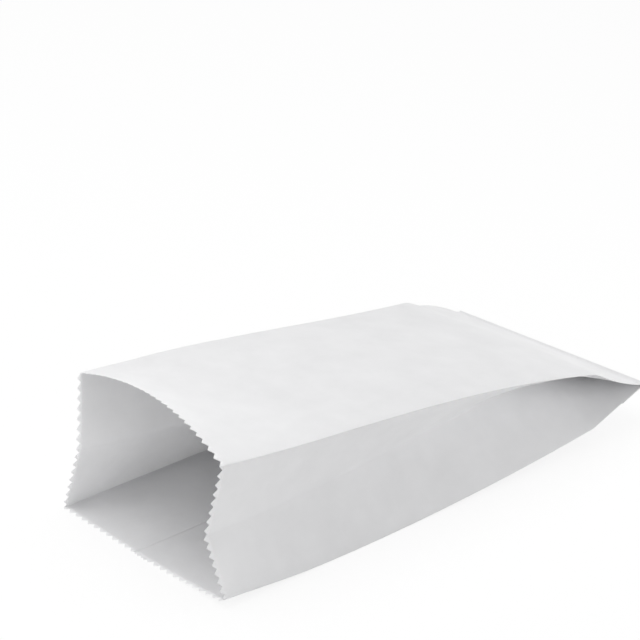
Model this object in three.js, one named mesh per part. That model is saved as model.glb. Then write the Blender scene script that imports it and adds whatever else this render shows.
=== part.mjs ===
// Plain white takeout paper bag, lying on its back panel with the mouth open.
// One sheet is folded to a flat tube with a gusset in each side, its long edges overlap and are pasted
// along the back panel, and the closed end is folded under and pasted as a strip.
// Millimetres. X runs from the mouth to the closed end, Y from the near side to the far side, Z up.
import * as THREE from 'three';

// The sheet
const panelWidth = 127;
const gussetPanel = 38.1;
const bagLength = 290;
const paper = 0.2;
const overlapWidth = 12;
const endStrip = 16;

// The pinked mouth
const toothPitch = 4.98;
const toothDepth = 2.4;

// How far each gusset stands open, in degrees from folded flat
const mouthOpening = { near: 72, far: 76 };
const shoulderOpening = { near: 25, far: 25 };
const openingEase = { near: 0.72, far: 0.23 };
const shoulderTuck = 0.24;
const shoulderRounding = 4;

// How the bag lies on the table
const endHeight = 22.5;
const edgeLift = { shoulder: 8.5, length: 160 };
const middleLift = { shoulder: 4, length: 60 };
const mouthLift = 4;
const mouthLiftLength = 95;
const mouthCrown = 14.5;
const crownLength = 60;
const bodyCrown = 4;
const sideLean = { near: -1, far: 8 };
const mouthLean = { near: 2, far: 2 };

// How far each fold of the mouth and the far end of the closed fold are drawn back along X
const mouthSetback = {
  nearBack: -0.5, nearCrease: -2, nearFront: 0, farFront: 9.5, farCrease: 1, farBack: -1,
};
const endSkew = 14;

// Fineness of the mesh
const stationCount = 30;
const stationCrowding = 1.5;
const rimDepth = 8;
const gussetSegments = 3;
const frontSegments = 12;
const backSegments = 6;
const edgeStep = 0.3;
const stationGap = 1.2;
const bluntness = 1.2;
const probe = 0.01;

const lerp = THREE.MathUtils.lerp;
const clamp = THREE.MathUtils.clamp;
const radians = THREE.MathUtils.degToRad;

// Four layers of paper lie on each other at the closed fold
const layers = 4;
const closedOpening = THREE.MathUtils.radToDeg(Math.asin(layers * paper / (2 * gussetPanel)));

// Opening of one gusset in radians, at a reach measured along the paper from the closed fold
function openingAt(side, reach) {
  const shoulder = shoulderOpening[side];
  if (reach < gussetPanel) {
    const share = reach / gussetPanel;
    return closedOpening + (shoulder - closedOpening) * share * (1 - shoulderTuck * (1 - share));
  }
  const share = (reach - gussetPanel) / (bagLength - gussetPanel);
  return shoulder + (mouthOpening[side] - shoulder) * share * (1 + openingEase[side] * (1 - share));
}

function roundedOpening(side, reach) {
  const spread = Math.min(shoulderRounding, reach, bagLength - reach);
  return radians((openingAt(side, reach - spread) + openingAt(side, reach + spread)) / 2);
}

// Height of the back panel above the table, along its folded edge or along its middle
function backHeight(reach, lift, atMouth) {
  if (reach < gussetPanel) return lerp(endHeight, lift.shoulder, reach / gussetPanel);
  const settling = clamp(1 - (reach - gussetPanel) / lift.length, 0, 1) ** 2;
  const flare = clamp(1 - (bagLength - reach) / mouthLiftLength, 0, 1) ** 2;
  return lift.shoulder * settling + atMouth * flare;
}

// Rise of the front panel between its folds
function crownAt(reach) {
  const flare = clamp(1 - (bagLength - reach) / crownLength, 0, 1) ** 2;
  return lerp(bodyCrown * Math.sin(Math.PI * reach / bagLength), mouthCrown, flare);
}

// How far one side leans in over the back panel, in radians
function leanAt(side, reach) {
  const bow = Math.sin(Math.PI * (1 - reach / bagLength) ** 2) * Math.min(1, reach / gussetPanel);
  const flare = clamp(1 - (bagLength - reach) / crownLength, 0, 1) ** 2;
  return radians(sideLean[side] * bow + mouthLean[side] * flare);
}

// The six folds at one reach, as points across the bag
function foldsAt(reach) {
  const folds = {};
  for (const [side, sign] of [['near', -1], ['far', 1]]) {
    const opening = roundedOpening(side, reach);
    const half = gussetPanel * Math.sin(opening);
    const depth = gussetPanel * Math.cos(opening);
    const base = backHeight(reach, edgeLift, side === 'near' ? mouthLift : 0);
    const back = new THREE.Vector2(sign * panelWidth / 2, base);
    const lean = leanAt(side, reach);
    const spine = new THREE.Vector2(-sign * Math.sin(lean), Math.cos(lean));
    const inward = new THREE.Vector2(-sign * spine.y, sign * spine.x);
    const crease = back.clone().addScaledVector(spine, half).addScaledVector(inward, depth);
    const front = back.clone().addScaledVector(spine, 2 * half);
    Object.assign(folds, { [side + 'Back']: back, [side + 'Crease']: crease, [side + 'Front']: front });
  }
  return folds;
}

// Walls in order around the bag, each from one fold to the next
const walls = [
  { from: 'farBack', to: 'nearBack', kind: 'back' },
  { from: 'nearBack', to: 'nearCrease', kind: 'gusset' },
  { from: 'nearCrease', to: 'nearFront', kind: 'gusset' },
  { from: 'nearFront', to: 'farFront', kind: 'front' },
  { from: 'farFront', to: 'farCrease', kind: 'gusset' },
  { from: 'farCrease', to: 'farBack', kind: 'gusset' },
];
const wallWidth = { back: panelWidth, gusset: gussetPanel, front: panelWidth };

// Middle of the paper across one wall: the front arches, the back dips to the table
function acrossWall(wall, folds, reach, share) {
  const point = folds[wall.from].clone().lerp(folds[wall.to], share);
  if (wall.kind === 'front') point.y += crownAt(reach) * 4 * share * (1 - share);
  if (wall.kind === 'back') {
    const edge = folds[share < 0.5 ? wall.from : wall.to].y;
    point.y = lerp(backHeight(reach, middleLift, 0), edge, (1 - 2 * share) ** 2);
  }
  return point;
}

function outward(wall, folds, reach, share) {
  const ahead = acrossWall(wall, folds, reach, share + probe);
  const behind = acrossWall(wall, folds, reach, share - probe);
  return new THREE.Vector2(behind.y - ahead.y, ahead.x - behind.x).normalize();
}

// X of a point, from the folds that bound its wall
function alongBag(wall, reach, share) {
  const drawn = lerp(mouthSetback[wall.from], mouthSetback[wall.to], share) * reach / bagLength;
  const across = { farBack: 1, farCrease: 1, farFront: 1, nearBack: 0, nearCrease: 0, nearFront: 0 };
  const skew = endSkew * lerp(across[wall.from], across[wall.to], share) * (1 - reach / bagLength);
  return bagLength - reach + drawn - skew;
}

// Half the angle between two walls at the fold they share
function halfAngle(before, after, folds, reach) {
  const fold = folds[after.from];
  const back = acrossWall(before, folds, reach, 1 - probe).sub(fold).normalize();
  const ahead = acrossWall(after, folds, reach, probe).sub(fold).normalize();
  return Math.acos(clamp(back.dot(ahead), -1, 1)) / 2;
}

// Thickness added outside the back panel by the pasted overlap and the strip folded under
function backing(wall, share, reach) {
  if (wall.kind !== 'back') return 0;
  const offset = Math.abs(share - 0.5) * panelWidth;
  const overlap = offset < overlapWidth / 2 && reach > endStrip ? paper : 0;
  return reach < endStrip ? layers * paper : overlap;
}

// One side of the paper at one reach: side 1 is the outside and -1 the inside
function skinPoint(index, share, reach, side) {
  const wall = walls[index];
  const folds = foldsAt(reach);
  const before = walls[(index + walls.length - 1) % walls.length];
  const after = walls[(index + 1) % walls.length];
  const width = wallWidth[wall.kind];
  const half = paper / 2;
  const isSharp = (name) => name.endsWith('Crease') === (side === 1);
  const trim = (first, second, name) =>
    isSharp(name) ? half / Math.tan(halfAngle(first, second, folds, reach)) / width : 0;
  const start = trim(before, wall, wall.from);
  const end = trim(wall, after, wall.to);
  const place = start + share * (1 - start - end);
  const point = acrossWall(wall, folds, reach, place);
  let normal = outward(wall, folds, reach, place);
  let offset = side * half;
  if (share === 0 && !isSharp(wall.from)) {
    normal = normal.add(outward(before, folds, reach, 1)).normalize();
    offset *= bluntness;
  }
  point.addScaledVector(normal, offset);
  if (side === 1) point.y -= backing(wall, share, reach);
  if (side === 1 && wall.from === 'nearBack' && share === 0) point.y -= backing(walls[0], 1, reach);
  return new THREE.Vector3(alongBag(wall, reach, place), point.x, point.y);
}

// Places across one wall for a plain ring, and for the pinked edge with how deep each is cut
function plainPlaces(wall) {
  if (wall.kind === 'gusset') return evenPlaces(gussetSegments);
  if (wall.kind === 'front') return evenPlaces(frontSegments);
  const even = evenPlaces(backSegments).slice(0, backSegments / 2);
  const bandEdges = [overlapWidth / 2 + edgeStep, overlapWidth / 2 - edgeStep]
    .map((distance) => ({ share: 0.5 - distance / panelWidth, cut: 0 }));
  const fromFar = [...even, ...bandEdges];
  const toNear = fromFar.slice(1).reverse().map(({ share }) => ({ share: 1 - share, cut: 0 }));
  return [...fromFar, { share: 0.5, cut: 0 }, ...toNear];
}

function evenPlaces(count) {
  return Array.from({ length: count }, (_, index) => ({ share: index / count, cut: 0 }));
}

// Teeth are counted from the near fold, because all layers are cut while the tube lies flat
function pinkedPlaces(wall) {
  const width = wallWidth[wall.kind];
  const atFar = wall.from.startsWith('far') && wall.to.startsWith('far');
  const reversed = wall.kind === 'back' || wall.to.endsWith('Front') || wall.to === 'farBack';
  const halfTooth = toothPitch / 2;
  const start = atFar ? panelWidth % halfTooth : 0;
  const distances = [0];
  for (let distance = start; distance < width - edgeStep; distance += halfTooth) {
    if (distance > edgeStep) distances.push(distance);
  }
  distances.push(width);
  if (reversed) distances.reverse();
  return distances.slice(0, -1).map((distance) => {
    const phase = ((atFar ? panelWidth - distance : distance) / toothPitch) % 1;
    return {
      share: reversed ? 1 - distance / width : distance / width,
      cut: toothDepth * (1 - Math.abs(2 * phase - 1)),
    };
  });
}

// A ring of points right round the bag, each with its distance round the sheet
function ring(placesOf, reach, side) {
  const points = [];
  let start = 0;
  walls.forEach((wall, index) => {
    for (const { share, cut } of placesOf(wall)) {
      const position = skinPoint(index, share, reach - cut, side);
      points.push({ position, round: start + share * wallWidth[wall.kind] });
    }
    start += wallWidth[wall.kind];
  });
  return { points, girth: start };
}

// Triangles between two rings, walking round both together
function zip(first, second, add) {
  let one = 0;
  let two = 0;
  const roundAt = ({ points, girth }, index) => (index < points.length ? points[index].round : girth);
  const at = ({ points }, index) => points[index % points.length].position;
  while (one < first.points.length || two < second.points.length) {
    const stepFirst = two >= second.points.length
      || (one < first.points.length && roundAt(first, one + 1) <= roundAt(second, two + 1));
    if (stepFirst) add(at(first, one), at(first, one + 1), at(second, two));
    else add(at(first, one), at(second, two + 1), at(second, two));
    if (stepFirst) one += 1;
    else two += 1;
  }
}

// Reaches of the rings, crowded towards the closed fold, with the edge of the pasted strip between two
function stations(lastReach) {
  const top = bagLength - rimDepth;
  const even = evenPlaces(stationCount).map(({ share }) => top * (1 - share) ** stationCrowding);
  const strip = [endStrip + edgeStep, endStrip - edgeStep];
  const isClear = (reach) => Math.abs(reach - endStrip) > stationGap && reach > lastReach + edgeStep;
  return [...even.filter(isClear), ...strip, lastReach].sort((a, b) => b - a);
}

function bagGeometry() {
  const corners = [];
  const facing = (side) => (a, b, c) => corners.push(...(side === 1 ? [a, c, b] : [a, b, c]));
  const rims = {};
  for (const side of [1, -1]) {
    const lastReach = side === 1 ? 0 : layers * paper;
    const rings = [ring(pinkedPlaces, bagLength, side)];
    for (const reach of stations(lastReach)) rings.push(ring(plainPlaces, reach, side));
    rings.slice(1).forEach((next, index) => zip(rings[index], next, facing(side)));
    closeRing(rings.at(-1), facing(side));
    rims[side] = rings[0];
  }
  zip(rims[-1], rims[1], facing(1));
  const geometry = new THREE.BufferGeometry().setFromPoints(corners);
  geometry.computeBoundingBox();
  const middle = geometry.boundingBox.getCenter(new THREE.Vector3());
  geometry.translate(-middle.x, -middle.y, -geometry.boundingBox.min.z);
  geometry.computeVertexNormals();
  return geometry;
}

function closeRing({ points }, add) {
  const outline = points.map(({ position }) => new THREE.Vector2(position.y, position.z));
  for (const [a, b, c] of THREE.ShapeUtils.triangulateShape(outline, [])) {
    add(points[a].position, points[c].position, points[b].position);
  }
}

const whitePaper = new THREE.MeshStandardMaterial({ color: 0xf1f1f2, roughness: 0.9, metalness: 0 });
const bag = new THREE.Mesh(bagGeometry(), whitePaper);
bag.name = 'paper_bag';

const part = new THREE.Group();
part.add(bag);

export default part;
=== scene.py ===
"""White paper takeaway bag, folded from one sheet, lying open on a studio floor."""
import math

import bpy
import numpy as np
from mathutils import Matrix, Vector


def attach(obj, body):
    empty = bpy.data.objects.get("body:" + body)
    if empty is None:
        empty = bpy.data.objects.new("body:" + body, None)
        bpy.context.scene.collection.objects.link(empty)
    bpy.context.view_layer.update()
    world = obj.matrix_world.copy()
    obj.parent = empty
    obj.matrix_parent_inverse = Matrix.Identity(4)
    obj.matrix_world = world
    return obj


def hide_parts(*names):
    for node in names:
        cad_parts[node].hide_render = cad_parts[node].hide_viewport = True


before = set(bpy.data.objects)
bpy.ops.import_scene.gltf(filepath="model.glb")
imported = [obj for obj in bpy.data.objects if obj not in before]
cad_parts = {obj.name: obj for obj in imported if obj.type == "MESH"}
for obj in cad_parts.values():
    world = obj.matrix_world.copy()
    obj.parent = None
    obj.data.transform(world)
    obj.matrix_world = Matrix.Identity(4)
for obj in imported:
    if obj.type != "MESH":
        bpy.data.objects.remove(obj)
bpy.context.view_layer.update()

bl_info = {
    "name": "Gusseted Paper Bag",
    "version": (1, 0, 0),
    "blender": (4, 5, 0),
    "location": "View3D > Sidebar > Paper Bag",
    "description": "Folds a gusseted paper bag from one sheet and sets it in a plain studio",
    "category": "Add Mesh",
}

CAD_NODE = "paper_bag"
SHEET_UV = "sheet_metres"
# Name of the attribute that holds the mask of painted shade along the folds
FOLD_ATTRIBUTE = "fold_wear"
NEAR, FAR = 0, 1

# Layers of paper pressed on each other in the closed end, and their pitch in metres
LAYER_PITCH = 0.00013
LAYERS = 4

# Lie of the bag on the table, in metres and degrees. A pair holds the near and the far side,
# but EDGE_LIFT and MIDDLE_LIFT hold a height and the length over which it settles.
END_HEIGHT = 0.0225
EDGE_LIFT = (0.0085, 0.160)
MIDDLE_LIFT = (0.004, 0.060)
MOUTH_LIFT = (0.004, 0.0)
MOUTH_LIFT_LENGTH = 0.095
MOUTH_CROWN = 0.0140
CROWN_LENGTH = 0.060
BODY_CROWN = 0.004
CROWN_SKEW = 0.4
OPENING_EASE = (0.72, 0.35)
MOUTH_FLARE = (0.0, 6.0)
FLARE_LENGTH = 0.045
SHOULDER_TUCK = (0.24, -0.2)
SHOULDER_REACH = (0.0381, 0.050)
SHOULDER_ROUNDING = 0.0009
PASTED_FLAT = 0.002
# Height added to the near crease, at shares of the bag's length from the closed fold
CREASE_SHARES = (0.0, 0.04, 0.12, 0.2, 0.3, 0.45, 0.6, 0.8, 1.0)
NEAR_CREASE_RISE = (0.0, 0.0, 0.0020, 0.0036, 0.0036, 0.0018, -0.0002, -0.0022, -0.0050)
SIDE_LEAN = (-1.0, 8.0)
MOUTH_LEAN = (2.0, 2.0)
END_SKEW = 0.014
STRIP_PRINT = 0.00018
SETBACK = {
    "near_back": -0.0005,
    "near_crease": -0.002,
    "near_front": 0.0,
    "far_front": 0.0095,
    "far_crease": 0.001,
    "far_back": -0.001,
}

# Moves the bag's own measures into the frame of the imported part
FRAME_SHIFT = Vector((-0.1440636, 0.0004389, 0.0003))

# Rounding of the folds in metres, and how far along the sheet from a fold it is felt
PLAIN_FOLD_RADIUS = 0.0005
CREASE_RADIUS = (0.0006, 0.0022)
CREASE_RADIUS_RATE = 1.1
MOUTH_FOLD_RADIUS = 0.0045
MOUTH_FOLD_SHARE = 0.8
FOLD_SPREAD = 0.012
FOLD_SAMPLES = 9
FOLD_SAMPLE_FADE = 0.9

# Grid of the sheet: columns at a fold and at an edge of the overlap, rows from the mouth
FOLD_COLUMNS = (-0.0011, -0.00045, 0.0, 0.00045, 0.0011)
EDGE_COLUMNS = (-0.0008, 0.0008)
COLUMN_GAP = 0.0012
LAST_COLUMN_GAP = 0.0004
LAST_FRONT_COLUMN_GAP = 0.0005
FIRST_ROW_TEETH = 1.6
BODY_ROWS = 118
ROW_CROWDING = 1.18
LEAST_BODY_REACH = 0.0009
LAST_REACHES = (0.0004, 0.0)
TURN_ROWS = 5
STRIP_ROWS = 7
TURN_UV_STEP = 0.0002

# Dents and buckles: how many, and the ranges of their draws in metres and radians. Their places
# aren't wrapped round the sheet, so the two layers of the overlap get different dents.
DENT_SEED = 41
DENTS = 90
DENT_ENDS = (0.03, 0.01)
DENT_TURN = 0.9
DENT_SIZE = (0.006, 0.022)
DENT_STRETCH = (1.2, 2.6)
DENT_RISE = 0.00022
BUCKLES = 26
BUCKLE_ENDS = (0.02, 0.02)
BUCKLE_TURN = 1.2
BUCKLE_LENGTH = (0.012, 0.04)
BUCKLE_WIDTH = (0.0018, 0.005)
BUCKLE_RISE = 0.00010
BUCKLE_CREST = 0.05
CALM_AT_FOLDS = 0.005
CALM_AT_END = (0.012, 0.03)
CALM_AT_MOUTH = (0.35, 0.02)

STRIP_PRINT_EDGE = 0.0025
OVERLAP_EDGE = 0.0012
# Width in metres of the painted shade along each fold and along the closed end
FOLD_SHADE_WIDTH = 0.0009

# Place, size of the square and the name of its power among the studio's settings
LAMPS = (
    ("key_lamp", (-0.20, 0.28, 1.30), 1.1, "key_power"),
    ("fill_lamp", (0.40, -0.28, 0.06), 0.2, "fill_power"),
    ("mouth_lamp", (-0.60, 0.0, 0.12), 0.2, "mouth_power"),
)
FLOOR_SIZE = 8.0
FLOOR_BOUNCE = 0.84
FLOOR_GLOW = 0.84


def mix(low, high, share):
    return low + (high - low) * share


def smooth_step(value):
    value = np.clip(value, 0.0, 1.0)
    return value * value * (3.0 - 2.0 * value)


def bell(distance, width):
    """A smooth hump, 1 at no distance."""
    return np.exp(-(distance / width) ** 2)


def crown_profile(share):
    """Arch of the front panel from the near fold to the far one, highest on the near side."""
    return 4 * share * (1 - share) * (1 + CROWN_SKEW * (0.5 - share))


class BagPosture:
    """Where each point of the sheet lies, from its place round and along the sheet."""

    def __init__(self, sizes):
        self.panel = sizes.panel_width
        self.gusset = sizes.gusset_panel
        self.length = sizes.bag_length
        self.overlap = sizes.overlap_width
        self.strip = sizes.end_strip
        self.mouth = (
            math.degrees(sizes.near_mouth_opening), math.degrees(sizes.far_mouth_opening))
        self.shoulder = (
            math.degrees(sizes.near_shoulder_opening), math.degrees(sizes.far_shoulder_opening))
        half = self.panel / 2
        self.folds = {
            "near_back": half,
            "near_crease": half + self.gusset,
            "near_front": half + 2 * self.gusset,
            "far_front": half + 2 * self.gusset + self.panel,
            "far_crease": half + 3 * self.gusset + self.panel,
            "far_back": half + 4 * self.gusset + self.panel,
        }
        self.girth = 2 * self.panel + 4 * self.gusset

    def opening(self, side, reach):
        """Degrees that a gusset's panels stand off the table's plane, with a sharp shoulder."""
        closed = math.degrees(math.asin(LAYERS * LAYER_PITCH / (2 * self.gusset)))
        shoulder = self.shoulder[side]
        start = SHOULDER_REACH[side]
        low = np.clip((reach - PASTED_FLAT) / (start - PASTED_FLAT), 0, 1)
        tucked = closed + (shoulder - closed) * low * (1 - SHOULDER_TUCK[side] * (1 - low))
        high = np.clip((reach - start) / (self.length - start), 0, 1)
        ease = 1 + OPENING_EASE[side] * (1 - high)
        eased = shoulder + (self.mouth[side] - shoulder) * high * ease
        eased = eased + MOUTH_FLARE[side] * self.flare(reach, FLARE_LENGTH)
        return np.where(reach < start, tucked, eased)

    def rounded_opening(self, side, reach):
        """The opening in radians, with the shoulder rounded."""
        spread = np.minimum(np.minimum(SHOULDER_ROUNDING, reach), self.length - reach)
        before = self.opening(side, reach - spread)
        after = self.opening(side, reach + spread)
        return np.radians((before + after) / 2)

    def flare(self, reach, length):
        """Share of an effect that grows over a length up to the mouth."""
        return np.clip(1 - (self.length - reach) / length, 0, 1) ** 2

    def back_height(self, reach, lift, at_mouth):
        """Height of the back panel, from the closed fold down to the table and up at the mouth."""
        low = np.clip(reach / self.gusset, 0, 1)
        settling = np.clip(1 - (reach - self.gusset) / lift[1], 0, 1) ** 2
        settled = lift[0] * settling + at_mouth * self.flare(reach, MOUTH_LIFT_LENGTH)
        return np.where(reach < self.gusset, mix(END_HEIGHT, lift[0], low), settled)

    def crown(self, reach):
        """Height of the front panel's arch."""
        body = BODY_CROWN * np.sin(np.pi * reach / self.length)
        return mix(body, MOUTH_CROWN, self.flare(reach, CROWN_LENGTH))

    def fold_points(self, reach):
        """Y and Z of the six folds at each reach."""
        points = {}
        for side, sign, name in ((NEAR, -1, "near"), (FAR, 1, "far")):
            opening = self.rounded_opening(side, reach)
            bow = np.sin(np.pi * (1 - reach / self.length) ** 2)
            bow = bow * np.minimum(1, reach / self.gusset)
            mouth_lean = MOUTH_LEAN[side] * self.flare(reach, CROWN_LENGTH)
            lean = np.radians(SIDE_LEAN[side] * bow + mouth_lean)
            half = self.gusset * np.sin(opening)
            depth = self.gusset * np.cos(opening)
            spine = np.stack([-sign * np.sin(lean), np.cos(lean)])
            inward = np.stack([-sign * spine[1], sign * spine[0]])
            base = self.back_height(reach, EDGE_LIFT, MOUTH_LIFT[side])
            back = np.stack([np.full_like(reach, sign * self.panel / 2), base])
            points[name + "_back"] = back
            crease = back + spine * half + inward * depth
            if side == NEAR:
                share = reach / self.length
                crease[1] += np.interp(share, CREASE_SHARES, NEAR_CREASE_RISE)
            points[name + "_crease"] = crease
            points[name + "_front"] = back + spine * 2 * half
        return points

    def along(self, reach, drawn, across):
        """X of a point from how far it is drawn back at the mouth and its share across the bag."""
        share = reach / self.length
        return self.length - reach + drawn * share - END_SKEW * across * (1 - share)

    def sharp(self, round_sheet, reach):
        """X, Y and Z of the sheet with every fold sharp."""
        points = self.fold_points(reach)
        half = self.panel / 2
        turn = np.mod(round_sheet + half, self.girth) - half
        result = np.zeros((3,) + reach.shape)
        walls = (
            ("far_back", "near_back", -half),
            ("near_back", "near_crease", half),
            ("near_crease", "near_front", self.folds["near_crease"]),
            ("near_front", "far_front", self.folds["near_front"]),
            ("far_front", "far_crease", self.folds["far_front"]),
            ("far_crease", "far_back", self.folds["far_crease"]),
        )
        for start, end, low in walls:
            width = self.panel if end in ("near_back", "far_front") else self.gusset
            here = (turn >= low) & (turn < low + width)
            share = np.clip((turn - low) / width, 0, 1)
            y = mix(points[start][0], points[end][0], share)
            z = mix(points[start][1], points[end][1], share)
            if end == "far_front":
                z = z + self.crown(reach) * crown_profile(share)
            if end == "near_back":
                edge = np.where(share < 0.5, points[start][1], points[end][1])
                z = mix(self.back_height(reach, MIDDLE_LIFT, 0.0), edge, (1 - 2 * share) ** 2)
            drawn = mix(SETBACK[start], SETBACK[end], share)
            x = self.along(reach, drawn, np.clip(y / self.panel + 0.5, 0, 1))
            result[:, here] = np.stack([x, y, z])[:, here]
        return result

    def fold_radius(self, round_sheet, reach):
        """How far each side of a point its folds are rounded."""
        share = reach / self.length
        radius = np.full_like(reach, PLAIN_FOLD_RADIUS)
        for name in ("near_crease", "far_crease"):
            added = mix(*CREASE_RADIUS, smooth_step(share * CREASE_RADIUS_RATE))
            radius += bell(round_sheet - self.folds[name], FOLD_SPREAD) * added
        opened = smooth_step((share - MOUTH_FOLD_SHARE) / (1 - MOUTH_FOLD_SHARE))
        near = bell(round_sheet - self.folds["near_back"], FOLD_SPREAD)
        return radius + near * MOUTH_FOLD_RADIUS * opened

    def folded(self, round_sheet, reach):
        """The sheet with its folds rounded, as paper turns them."""
        radius = self.fold_radius(round_sheet, reach)
        steps = np.linspace(-1, 1, FOLD_SAMPLES)
        weights = 1 - np.abs(steps) * FOLD_SAMPLE_FADE
        total = sum(
            weight * self.sharp(round_sheet + radius * step, reach)
            for step, weight in zip(steps, weights)
        )
        return total / weights.sum()


def sheet_columns(posture, tooth_pitch):
    """Places round the sheet: every quarter tooth on the front, half tooth elsewhere."""
    start = -posture.overlap / 2
    end = posture.girth + posture.overlap / 2
    places = {start, end}
    tooth_step = tooth_pitch / 2
    near_front = posture.folds["near_front"]
    first = near_front - math.floor((near_front - start) / tooth_step) * tooth_step
    place = first
    while place < end - LAST_COLUMN_GAP:
        places.add(place)
        if near_front <= place < posture.folds["far_front"] - LAST_FRONT_COLUMN_GAP:
            places.add(place + tooth_step / 2)
        place += tooth_step
    overlap_edges = (posture.overlap / 2, posture.girth - posture.overlap / 2)
    for lines, columns in ((posture.folds.values(), FOLD_COLUMNS), (overlap_edges, EDGE_COLUMNS)):
        for line in lines:
            places = {p for p in places if abs(p - line) > COLUMN_GAP}
            places |= {line + column for column in columns}
    return np.array(sorted(places))


def sheet_rows(posture, tooth_depth):
    """Reaches from the mouth to the closed fold, crowded towards the fold."""
    top = posture.length - FIRST_ROW_TEETH * tooth_depth
    body = top * (1 - np.linspace(0, 1, BODY_ROWS)) ** ROW_CROWDING
    body = body[body > LEAST_BODY_REACH]
    return np.concatenate([[posture.length], body, LAST_REACHES])


def tooth_cut(posture, round_sheet, tooth_pitch, tooth_depth):
    """How deep the pinked edge is cut, counted from the near fold of the front panel."""
    phase = np.mod((round_sheet - posture.folds["near_front"]) / tooth_pitch, 1.0)
    return tooth_depth * (1 - np.abs(2 * phase - 1))


def turned(round_sheet, reach, place, along, turn):
    """Distances from a place on the sheet, along two axes turned by an angle."""
    du = round_sheet - place
    dv = reach - along
    return (
        du * math.cos(turn) + dv * math.sin(turn),
        -du * math.sin(turn) + dv * math.cos(turn),
    )


def soft_dents(round_sheet, reach, posture):
    """Gentle dents and buckles of handled paper, measured out from the sheet in metres."""
    draw = np.random.default_rng(DENT_SEED)
    height = np.zeros_like(reach)
    for _ in range(DENTS):
        place = draw.uniform(0, posture.girth)
        along = draw.uniform(DENT_ENDS[0], posture.length - DENT_ENDS[1])
        turn = draw.uniform(-DENT_TURN, DENT_TURN)
        size = draw.uniform(*DENT_SIZE)
        stretch = draw.uniform(*DENT_STRETCH)
        rise = draw.normal(0, DENT_RISE)
        a, b = turned(round_sheet, reach, place, along, turn)
        height += rise * np.exp(-((a / size) ** 2 + (b / (size * stretch)) ** 2))
    for _ in range(BUCKLES):
        place = draw.uniform(0, posture.girth)
        along = draw.uniform(BUCKLE_ENDS[0], posture.length - BUCKLE_ENDS[1])
        turn = draw.uniform(-BUCKLE_TURN, BUCKLE_TURN)
        length = draw.uniform(*BUCKLE_LENGTH)
        width = draw.uniform(*BUCKLE_WIDTH)
        rise = draw.normal(0, BUCKLE_RISE)
        a, b = turned(round_sheet, reach, place, along, turn)
        height += rise * np.exp(-np.sqrt((a / width) ** 2 + BUCKLE_CREST) - (b / length) ** 2)
    calm = smooth_step((reach - CALM_AT_END[0]) / CALM_AT_END[1])
    calm *= mix(CALM_AT_MOUTH[0], 1.0, smooth_step((posture.length - reach) / CALM_AT_MOUTH[1]))
    for fold in posture.folds.values():
        calm *= 1 - bell(round_sheet - fold, CALM_AT_FOLDS)
    return height * calm


def outward_normals(points):
    """Unit normals of a grid of points (3, rows, columns), pointing out of the bag."""
    along = np.gradient(points, axis=1)
    across = np.gradient(points, axis=2)
    normal = np.cross(along, across, axis=0)
    return normal / np.maximum(np.linalg.norm(normal, axis=0), 1e-12)


def tube_points(posture, columns, rows, sizes):
    """Grid of the sheet from the mouth to the closed fold, and the reach of each point."""
    round_sheet, reach = np.meshgrid(columns, rows)
    reach = reach.copy()
    reach[0] -= tooth_cut(posture, columns, sizes.tooth_pitch, sizes.tooth_depth)
    points = posture.folded(round_sheet, reach)
    points[2, -1] = posture.sharp(round_sheet[-1:], reach[-1:])[2, 0]
    normals = outward_normals(points)
    height = soft_dents(round_sheet, reach, posture)
    folds = posture.folds
    on_front = (round_sheet > folds["near_front"]) & (round_sheet < folds["far_front"])
    strip_print = STRIP_PRINT * smooth_step((posture.strip - reach) / STRIP_PRINT_EDGE)
    height = height + np.where(on_front, strip_print, 0.0)
    past_edge = columns - (posture.girth - posture.overlap / 2)
    over = smooth_step((past_edge + OVERLAP_EDGE) / (2 * OVERLAP_EDGE))
    height = height + LAYER_PITCH * over[None, :]
    on_back = (round_sheet < folds["near_back"]) | (round_sheet > folds["far_back"])
    lowest = points[2] + normals[2] * height
    under_table = on_back & (lowest < 0) & (height > LAYER_PITCH)
    height = np.where(under_table, LAYER_PITCH, height)
    return points + normals * height, reach


def flap_points(posture, last_row, layer_height):
    """Rows of the closed end turned under and pasted to the back panel, with their reaches."""
    turn_steps = np.linspace(0, np.pi, TURN_ROWS + 1)[1:]
    lengths = np.linspace(0, posture.strip, STRIP_ROWS + 1)[1:]
    rows = []
    reaches = []
    x_end, y_end = last_row[0], last_row[1]
    radius = layer_height + LAYER_PITCH / 2
    for angle in turn_steps:
        x = x_end + radius * np.sin(angle)
        z = END_HEIGHT - LAYER_PITCH / 2 + radius * np.cos(angle)
        rows.append(np.stack([x, y_end, z]))
        reaches.append(-TURN_UV_STEP * angle)
    share = np.clip(y_end / posture.panel + 0.5, 0, 1)
    below = posture.panel / 2 - share * posture.panel
    fold_x = posture.sharp(below, np.zeros_like(y_end))[0]
    for length in lengths:
        under = posture.sharp(below, np.full_like(y_end, length))
        z = under[2] - LAYER_PITCH - layer_height
        rows.append(np.stack([x_end - (fold_x - under[0]), y_end, z]))
        reaches.append(-length)
    return rows, reaches


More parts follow.
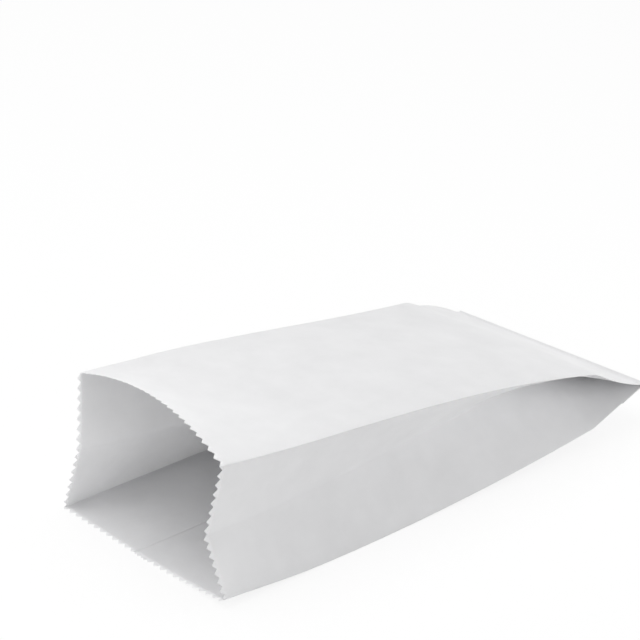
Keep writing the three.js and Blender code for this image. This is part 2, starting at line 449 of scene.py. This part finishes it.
def bag_mesh(name, posture, sizes):
    """Mesh of the folded sheet, with its flat measures as a UV map and a mask of painted shade
    along its folds.
    """
    columns = sheet_columns(posture, sizes.tooth_pitch)
    rows = sheet_rows(posture, sizes.tooth_depth)
    tube, reach = tube_points(posture, columns, rows, sizes)
    last_row = tube[:, -1]
    layer_height = np.clip(last_row[2] - END_HEIGHT, 0, LAYERS * LAYER_PITCH)
    flap, flap_reach = flap_points(posture, last_row, layer_height)
    grid = np.concatenate([tube, np.stack(flap, axis=1)], axis=1)
    flap_reaches = np.repeat(np.array(flap_reach)[:, None], len(columns), axis=1)
    reaches = np.concatenate([reach, flap_reaches], axis=0)
    count_rows, count_columns = grid.shape[1:]
    shift = np.array(FRAME_SHIFT)[:, None, None]
    vertices = (grid + shift).reshape(3, -1).T
    faces = []
    for row in range(count_rows - 1):
        for column in range(count_columns - 1):
            corner = row * count_columns + column
            below = corner + count_columns
            faces.append((corner, below, below + 1, corner + 1))
    mesh = bpy.data.meshes.new(name)
    mesh.from_pydata([tuple(v) for v in vertices], [], faces)

    layer = mesh.uv_layers.new(name=SHEET_UV)
    sheet_uv = np.stack([np.tile(columns, count_rows), reaches.ravel()], axis=1)
    loop_vertices = np.zeros(len(mesh.loops), dtype=np.int32)
    mesh.loops.foreach_get("vertex_index", loop_vertices)
    layer.data.foreach_set("uv", sheet_uv[loop_vertices].astype(np.float32).ravel())

    # Painted shade: a mask, 1 on each fold and on the closed end, that darkens the paper there in
    # place of the shade along them
    fold_shade = bell(reaches, FOLD_SHADE_WIDTH)
    for fold in posture.folds.values():
        fold_shade = np.maximum(fold_shade, bell(columns - fold, FOLD_SHADE_WIDTH)[None, :])
    attribute = mesh.attributes.new(FOLD_ATTRIBUTE, "FLOAT", "POINT")
    attribute.data.foreach_set("value", fold_shade.astype(np.float32).ravel())
    mesh.validate()
    mesh.update()
    return mesh


# ---------------------------------------------------------------- materials

def add_node(tree, kind, place, inputs=None, **values):
    """A shader node at a place in the editor, with constant inputs and settings."""
    node = tree.nodes.new(kind)
    node.location = place
    for key, value in values.items():
        setattr(node, key, value)
    for socket, value in (inputs or {}).items():
        node.inputs[socket].default_value = value
    return node


def add_math(tree, place, operation, inputs=None):
    return add_node(tree, "ShaderNodeMath", place, inputs, operation=operation)


def add_noise(tree, place, inputs):
    return add_node(tree, "ShaderNodeTexNoise", place, inputs, noise_dimensions="3D")


def opaque(colour, share):
    """The colour with alpha, its channels times a share and no higher than 1."""
    return (*[min(1.0, channel * share) for channel in colour], 1.0)


def new_material(name):
    material = bpy.data.materials.new(name)
    material.use_nodes = True
    material.node_tree.nodes.clear()
    return material


def seen_directly(tree, left):
    """Output that is 1 for camera, glossy and transmission rays and 0 for the others."""
    path = add_node(tree, "ShaderNodeLightPath", (left, 0))
    glossy = add_math(tree, (left + 200, 0), "MAXIMUM")
    seen = add_math(tree, (left + 400, 0), "MAXIMUM")
    tree.links.new(path.outputs["Is Camera Ray"], glossy.inputs[0])
    tree.links.new(path.outputs["Is Glossy Ray"], glossy.inputs[1])
    tree.links.new(glossy.outputs["Value"], seen.inputs[0])
    tree.links.new(path.outputs["Is Transmission Ray"], seen.inputs[1])
    return seen.outputs["Value"]


def paper_fibre_group():
    """Fibre clouds, fine grain and pressed creases of thin paper, as masks and a height."""
    group = bpy.data.node_groups.new("paper_fibre", "ShaderNodeTree")
    face = group.interface
    face.new_socket("Sheet", in_out="INPUT", socket_type="NodeSocketVector")
    for name, value in (("Cloud Size", 40.0), ("Grain Size", 900.0), ("Crease Amount", 0.5)):
        socket = face.new_socket(name, in_out="INPUT", socket_type="NodeSocketFloat")
        socket.default_value = value
    for name in ("Cloud", "Grain", "Height"):
        face.new_socket(name, in_out="OUTPUT", socket_type="NodeSocketFloat")
    inputs = add_node(group, "NodeGroupInput", (-1100, 0))
    outputs = add_node(group, "NodeGroupOutput", (900, 0))
    link = group.links.new

    # Cloudy thickness, seen as tone
    cloud = add_noise(group, (-500, 300), {"Detail": 4.0, "Roughness": 0.6})
    link(inputs.outputs["Sheet"], cloud.inputs["Vector"])
    link(inputs.outputs["Cloud Size"], cloud.inputs["Scale"])

    # Fine grain, with fibres that run along the sheet
    grain = add_noise(group, (-500, 0), {"Detail": 2.0})
    stretch = add_node(group, "ShaderNodeMapping", (-700, -200), {"Scale": (1.0, 0.35, 1.0)})
    fibre = add_noise(group, (-500, -200), {"Scale": 420.0, "Detail": 3.0, "Distortion": 0.6})
    grain_height = add_math(group, (0, -100), "MULTIPLY_ADD", {1: 0.45})
    link(inputs.outputs["Sheet"], grain.inputs["Vector"])
    link(inputs.outputs["Grain Size"], grain.inputs["Scale"])
    link(inputs.outputs["Sheet"], stretch.inputs["Vector"])
    link(stretch.outputs["Vector"], fibre.inputs["Vector"])
    link(grain.outputs["Fac"], grain_height.inputs[0])
    link(fibre.outputs["Fac"], grain_height.inputs[2])

    # Pressed creases in some patches, their lines bent by a slow noise
    wobble = add_noise(group, (-900, -450), {"Scale": 55.0, "Detail": 2.0})
    bend = add_node(
        group, "ShaderNodeVectorMath", (-700, -450), {1: (0.02, 0.02, 0.0)},
        operation="MULTIPLY_ADD")
    crease = add_node(
        group, "ShaderNodeTexVoronoi", (-500, -450), {"Scale": 34.0},
        feature="DISTANCE_TO_EDGE")
    edge = add_node(
        group, "ShaderNodeMapRange", (-250, -450),
        {"From Max": 0.05, "To Min": 1.0, "To Max": 0.0}, interpolation_type="SMOOTHSTEP")
    patches = add_noise(group, (-500, -700), {"Scale": 22.0})
    gate = add_node(
        group, "ShaderNodeMapRange", (-250, -700),
        {"From Min": 0.5, "From Max": 0.68}, interpolation_type="SMOOTHSTEP")
    pressed = add_math(group, (0, -450), "MULTIPLY")
    scaled = add_math(group, (200, -450), "MULTIPLY")
    link(inputs.outputs["Sheet"], wobble.inputs["Vector"])
    link(wobble.outputs["Color"], bend.inputs[0])
    link(inputs.outputs["Sheet"], bend.inputs[2])
    link(bend.outputs["Vector"], crease.inputs["Vector"])
    link(crease.outputs["Distance"], edge.inputs["Value"])
    link(inputs.outputs["Sheet"], patches.inputs["Vector"])
    link(patches.outputs["Fac"], gate.inputs["Value"])
    link(edge.outputs["Result"], pressed.inputs[0])
    link(gate.outputs["Result"], pressed.inputs[1])
    link(pressed.outputs["Value"], scaled.inputs[0])
    link(inputs.outputs["Crease Amount"], scaled.inputs[1])

    # All of it as one height
    cloud_height = add_math(group, (200, 0), "MULTIPLY_ADD", {1: 0.8})
    height = add_math(group, (500, -200), "ADD")
    link(cloud.outputs["Fac"], cloud_height.inputs[0])
    link(grain_height.outputs["Value"], cloud_height.inputs[2])
    link(cloud_height.outputs["Value"], height.inputs[0])
    link(scaled.outputs["Value"], height.inputs[1])
    link(cloud.outputs["Fac"], outputs.inputs["Cloud"])
    link(grain_height.outputs["Value"], outputs.inputs["Grain"])
    link(height.outputs["Value"], outputs.inputs["Height"])
    return group


def paper_material(name, group, colour, roughness, bump, specular):
    """One face of the paper: clouded colour, fibre grain, and painted shade darkening the folds.
    """
    material = new_material(name)
    tree = material.node_tree
    output = add_node(tree, "ShaderNodeOutputMaterial", (900, 0))
    shader = add_node(tree, "ShaderNodeBsdfPrincipled", (600, 0), {
        "Specular IOR Level": specular,
        "Subsurface Weight": 0.4,
        "Subsurface Radius": (1.0, 1.0, 1.0),
        "Subsurface Scale": 0.0006,
    })
    sheet = add_node(tree, "ShaderNodeUVMap", (-900, 0), uv_map=SHEET_UV)
    fibre = add_node(tree, "ShaderNodeGroup", (-600, 0), node_tree=group)
    spread = add_node(
        tree, "ShaderNodeMapRange", (-400, 300), {"From Min": 0.3, "From Max": 0.7})
    tint = add_node(tree, "ShaderNodeMix", (-200, 200), data_type="RGBA")
    tint.inputs["A"].default_value = opaque(colour, 0.965)
    tint.inputs["B"].default_value = opaque(colour, 1.02)
    # Painted shade: the folds and the closed end are mixed towards a darker colour to stand in for
    # the shade along them
    fold_shade = add_node(tree, "ShaderNodeAttribute", (-600, -400), attribute_name=FOLD_ATTRIBUTE)
    amount = add_math(tree, (-200, -400), "MULTIPLY", {1: 0.3})
    shaded_folds = add_node(tree, "ShaderNodeMix", (100, 200), data_type="RGBA")
    shaded_folds.inputs["B"].default_value = opaque(colour, 0.94)
    rough = add_node(
        tree, "ShaderNodeMapRange", (100, -100),
        {"To Min": roughness - 0.08, "To Max": roughness + 0.08})
    relief = add_node(
        tree, "ShaderNodeBump", (300, -300), {"Strength": bump, "Distance": 0.0001})
    link = tree.links.new
    link(sheet.outputs["UV"], fibre.inputs["Sheet"])
    link(fibre.outputs["Cloud"], spread.inputs["Value"])
    link(spread.outputs["Result"], tint.inputs["Factor"])
    link(fold_shade.outputs["Fac"], amount.inputs[0])
    link(amount.outputs["Value"], shaded_folds.inputs["Factor"])
    link(tint.outputs["Result"], shaded_folds.inputs["A"])
    link(shaded_folds.outputs["Result"], shader.inputs["Base Color"])
    link(fibre.outputs["Grain"], rough.inputs["Value"])
    link(rough.outputs["Result"], shader.inputs["Roughness"])
    link(fibre.outputs["Height"], relief.inputs["Height"])
    link(relief.outputs["Normal"], shader.inputs["Normal"])
    link(shader.outputs["BSDF"], output.inputs["Surface"])
    return material


def floor_material():
    """A pale floor that keeps soft shadows and shows as white in view and in reflections."""
    material = new_material("studio_floor")
    tree = material.node_tree
    output = add_node(tree, "ShaderNodeOutputMaterial", (800, 0))
    seen = seen_directly(tree, -600)
    tone = add_node(
        tree, "ShaderNodeMapRange", (0, 200), {"To Min": FLOOR_BOUNCE, "To Max": 1.0})
    diffuse = add_node(tree, "ShaderNodeBsdfDiffuse", (200, 100))
    white = add_node(
        tree, "ShaderNodeEmission", (200, -100), {"Color": (1.0, 1.0, 1.0, 1.0)})
    share = add_math(tree, (200, 250), "MULTIPLY", {1: FLOOR_GLOW})
    blend = add_node(tree, "ShaderNodeMixShader", (500, 0))
    link = tree.links.new
    link(seen, share.inputs[0])
    link(seen, tone.inputs["Value"])
    link(tone.outputs["Result"], diffuse.inputs["Color"])
    link(share.outputs["Value"], blend.inputs["Fac"])
    link(diffuse.outputs["BSDF"], blend.inputs[1])
    link(white.outputs["Emission"], blend.inputs[2])
    link(blend.outputs["Shader"], output.inputs["Surface"])
    return material


# ---------------------------------------------------------------- settings

class PaperBagSizes(bpy.types.PropertyGroup):
    """Flat sizes of the sheet and how far its gussets stand open"""
    panel_width: bpy.props.FloatProperty(
        name="Panel Width", description="Width of the front and back panels", default=0.127,
        unit="LENGTH")
    gusset_panel: bpy.props.FloatProperty(
        name="Gusset Panel", description="Width of each of the two panels of a gusset",
        default=0.0381, unit="LENGTH")
    bag_length: bpy.props.FloatProperty(
        name="Bag Length", description="Length along the paper from the closed fold to the mouth",
        default=0.290, unit="LENGTH")
    overlap_width: bpy.props.FloatProperty(
        name="Overlap", description="Width of the pasted overlap along the back", default=0.012,
        unit="LENGTH")
    end_strip: bpy.props.FloatProperty(
        name="End Strip", description="Length of the closed end that is turned under and pasted",
        default=0.016, unit="LENGTH")
    tooth_pitch: bpy.props.FloatProperty(
        name="Tooth Pitch", description="Distance between the teeth of the cut mouth",
        default=0.00498, unit="LENGTH")
    tooth_depth: bpy.props.FloatProperty(
        name="Tooth Depth", description="Depth of the teeth of the cut mouth", default=0.0024,
        unit="LENGTH")
    sheet_thickness: bpy.props.FloatProperty(
        name="Paper", description="Thickness of the paper", default=0.0001, unit="LENGTH",
        precision=5)
    near_mouth_opening: bpy.props.FloatProperty(
        name="Near Opening", description="How far the near gusset stands open at the mouth",
        default=math.radians(72), subtype="ANGLE", unit="ROTATION")
    far_mouth_opening: bpy.props.FloatProperty(
        name="Far Opening", description="How far the far gusset stands open at the mouth",
        default=math.radians(70), subtype="ANGLE", unit="ROTATION")
    near_shoulder_opening: bpy.props.FloatProperty(
        name="Near Shoulder",
        description="How far the near gusset stands open where the flat end starts",
        default=math.radians(25), subtype="ANGLE", unit="ROTATION")
    far_shoulder_opening: bpy.props.FloatProperty(
        name="Far Shoulder",
        description="How far the far gusset stands open where the flat end starts",
        default=math.radians(29), subtype="ANGLE", unit="ROTATION")


class PaperBagPaper(bpy.types.PropertyGroup):
    """Looks of the two faces of the paper"""
    outside_colour: bpy.props.FloatVectorProperty(
        name="Outside", description="Colour of the smooth outer face", subtype="COLOR", size=3,
        min=0.0, max=1.0, default=(0.87, 0.87, 0.88))
    inside_colour: bpy.props.FloatVectorProperty(
        name="Inside", description="Colour of the rough inner face", subtype="COLOR", size=3,
        min=0.0, max=1.0, default=(0.87, 0.87, 0.88))
    outside_roughness: bpy.props.FloatProperty(
        name="Outside Roughness", description="Roughness of the outer face", default=0.62,
        subtype="FACTOR")
    inside_roughness: bpy.props.FloatProperty(
        name="Inside Roughness", description="Roughness of the inner face", default=0.82,
        subtype="FACTOR")


class PaperBagStudio(bpy.types.PropertyGroup):
    """Camera and light"""
    azimuth: bpy.props.FloatProperty(
        name="Azimuth", description="Turn of the camera round the bag from its near side",
        default=math.radians(-41.477), subtype="ANGLE", unit="ROTATION")
    elevation: bpy.props.FloatProperty(
        name="Elevation", description="Height of the camera above the horizon",
        default=math.radians(26.22), subtype="ANGLE", unit="ROTATION")
    roll: bpy.props.FloatProperty(
        name="Roll", description="Turn of the camera about its own axis",
        default=math.radians(-0.457), subtype="ANGLE", unit="ROTATION")
    distance: bpy.props.FloatProperty(
        name="Distance", description="From the camera to the point it looks at", default=1.3357,
        unit="LENGTH")
    aim: bpy.props.FloatVectorProperty(
        name="Aim",
        description="Offset of the looked-at point from the mouth's middle on the floor, "
        "to the camera's right and up",
        size=2, default=(0.0863, 0.11651), unit="LENGTH")
    lens: bpy.props.FloatProperty(
        name="Lens", description="Focal length in millimetres", default=153.7)
    key_power: bpy.props.FloatProperty(
        name="Key Light", description="Power of the large soft lamp over the bag", default=7.2,
        unit="POWER")
    fill_power: bpy.props.FloatProperty(
        name="Fill Light", description="Power of the small soft lamp beside the closed end",
        default=0.55, unit="POWER")
    mouth_power: bpy.props.FloatProperty(
        name="Mouth Light", description="Power of the small soft lamp that looks into the mouth",
        default=0.5, unit="POWER")
    sky_level: bpy.props.FloatProperty(
        name="Sky", description="Level of the even light from all round", default=0.64)


# ---------------------------------------------------------------- operators

class OBJECT_OT_paper_bag_sheet(bpy.types.Operator):
    """Fold the bag's sheet: panels, gussets, pasted overlap, pinked mouth and turned-under end"""
    bl_idname = "object.paper_bag_sheet"
    bl_label = "Fold Paper Bag"
    bl_options = {"REGISTER", "UNDO"}

    def execute(self, context):
        sizes = context.scene.paper_bag_sizes
        paper = context.scene.paper_bag_paper
        bpy.ops.object.select_all(action="DESELECT")
        posture = BagPosture(sizes)
        mesh = bag_mesh("folded_sheet", posture, sizes)
        bag = bpy.data.objects.new("folded_sheet", mesh)
        context.collection.objects.link(bag)
        group = paper_fibre_group()
        outside = paper_material(
            "white_paper_outside", group, paper.outside_colour, paper.outside_roughness, 0.35, 0.4)
        inside = paper_material(
            "white_paper_inside", group, paper.inside_colour, paper.inside_roughness, 0.5, 0.25)
        mesh.materials.append(outside)
        mesh.materials.append(inside)
        bag.select_set(True)
        context.view_layer.objects.active = bag
        bpy.ops.object.shade_smooth()
        wall = bag.modifiers.new("paper_thickness", "SOLIDIFY")
        wall.thickness = sizes.sheet_thickness
        wall.offset = 0.0
        wall.use_even_offset = False
        wall.material_offset = 1
        wall.material_offset_rim = 1
        bpy.ops.object.modifier_apply(modifier=wall.name)
        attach(bag, "root")
        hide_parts(CAD_NODE)
        return {"FINISHED"}


class OBJECT_OT_paper_bag_studio(bpy.types.Operator):
    """Set the pale floor, the soft lamps and the camera"""
    bl_idname = "object.paper_bag_studio"
    bl_label = "Set Studio"
    bl_options = {"REGISTER", "UNDO"}

    def execute(self, context):
        studio = context.scene.paper_bag_studio
        scene = context.scene
        bpy.ops.object.select_all(action="DESELECT")
        bpy.ops.mesh.primitive_plane_add(size=FLOOR_SIZE, location=(0.0, 0.0, 0.0))
        floor = context.active_object
        floor.name = "studio_floor"
        floor.data.materials.append(floor_material())

        world = bpy.data.worlds.new("studio_sky")
        world.use_nodes = True
        scene.world = world
        tree = world.node_tree
        sky = tree.nodes["Background"]
        sky.inputs["Color"].default_value = (1.0, 1.0, 1.0, 1.0)
        level = add_node(
            tree, "ShaderNodeMapRange", (-200, 0),
            {"To Min": studio.sky_level, "To Max": 1.0})
        tree.links.new(seen_directly(tree, -800), level.inputs["Value"])
        tree.links.new(level.outputs["Result"], sky.inputs["Strength"])

        for name, place, size, power in LAMPS:
            light = bpy.data.lights.new(name, "AREA")
            light.shape = "SQUARE"
            light.size = size
            light.energy = getattr(studio, power)
            lamp = bpy.data.objects.new(name, light)
            context.collection.objects.link(lamp)
            lamp.location = place
            lamp.visible_camera = False
            lamp.rotation_euler = (-Vector(place)).to_track_quat("-Z", "Y").to_euler()

        self.place_camera(context, studio)
        scene.view_settings.view_transform = "Standard"
        return {"FINISHED"}

    def place_camera(self, context, studio):
        """Place the camera by its angles round the bag and the offset of its aim."""
        azimuth = -studio.azimuth
        elevation = studio.elevation
        right = Vector((math.cos(azimuth), -math.sin(azimuth), 0.0))
        level = Vector((math.sin(azimuth), math.cos(azimuth), 0.0))
        forward = level * math.cos(elevation) - Vector((0.0, 0.0, math.sin(elevation)))
        up = level * math.sin(elevation) + Vector((0.0, 0.0, math.cos(elevation)))
        target = right * studio.aim[0] + up * studio.aim[1] + FRAME_SHIFT
        turn_cos, turn_sin = math.cos(studio.roll), math.sin(studio.roll)
        rolled_right = right * turn_cos - up * turn_sin
        rolled_up = right * turn_sin + up * turn_cos
        axes = Matrix((rolled_right, rolled_up, -forward)).transposed()
        camera_data = bpy.data.cameras.new("studio_camera")
        camera_data.lens = studio.lens
        camera_data.sensor_width = 36.0
        camera_data.clip_end = 50.0
        camera = bpy.data.objects.new("studio_camera", camera_data)
        context.collection.objects.link(camera)
        camera.location = target - forward * studio.distance
        camera.rotation_euler = axes.to_euler()
        context.scene.camera = camera


class VIEW3D_PT_paper_bag(bpy.types.Panel):
    """Sidebar panel for the paper bag"""
    bl_label = "Paper Bag"
    bl_idname = "VIEW3D_PT_paper_bag"
    bl_space_type = "VIEW_3D"
    bl_region_type = "UI"
    bl_category = "Paper Bag"

    def draw(self, context):
        layout = self.layout
        groups = (
            (context.scene.paper_bag_sizes, "object.paper_bag_sheet"),
            (context.scene.paper_bag_paper, None),
            (context.scene.paper_bag_studio, "object.paper_bag_studio"),
        )
        for settings, operator in groups:
            box = layout.box()
            for name in settings.bl_rna.properties.keys():
                if name not in {"rna_type", "name"}:
                    box.prop(settings, name)
            if operator:
                box.operator(operator)


CLASSES = (
    PaperBagSizes,
    PaperBagPaper,
    PaperBagStudio,
    OBJECT_OT_paper_bag_sheet,
    OBJECT_OT_paper_bag_studio,
    VIEW3D_PT_paper_bag,
)


def register():
    for item in CLASSES:
        bpy.utils.register_class(item)
    bpy.types.Scene.paper_bag_sizes = bpy.props.PointerProperty(type=PaperBagSizes)
    bpy.types.Scene.paper_bag_paper = bpy.props.PointerProperty(type=PaperBagPaper)
    bpy.types.Scene.paper_bag_studio = bpy.props.PointerProperty(type=PaperBagStudio)


def unregister():
    del bpy.types.Scene.paper_bag_studio
    del bpy.types.Scene.paper_bag_paper
    del bpy.types.Scene.paper_bag_sizes
    for item in reversed(CLASSES):
        bpy.utils.unregister_class(item)


def main():
    register()
    bpy.ops.object.paper_bag_studio()
    bpy.ops.object.paper_bag_sheet()


if __name__ == "__main__":
    main()
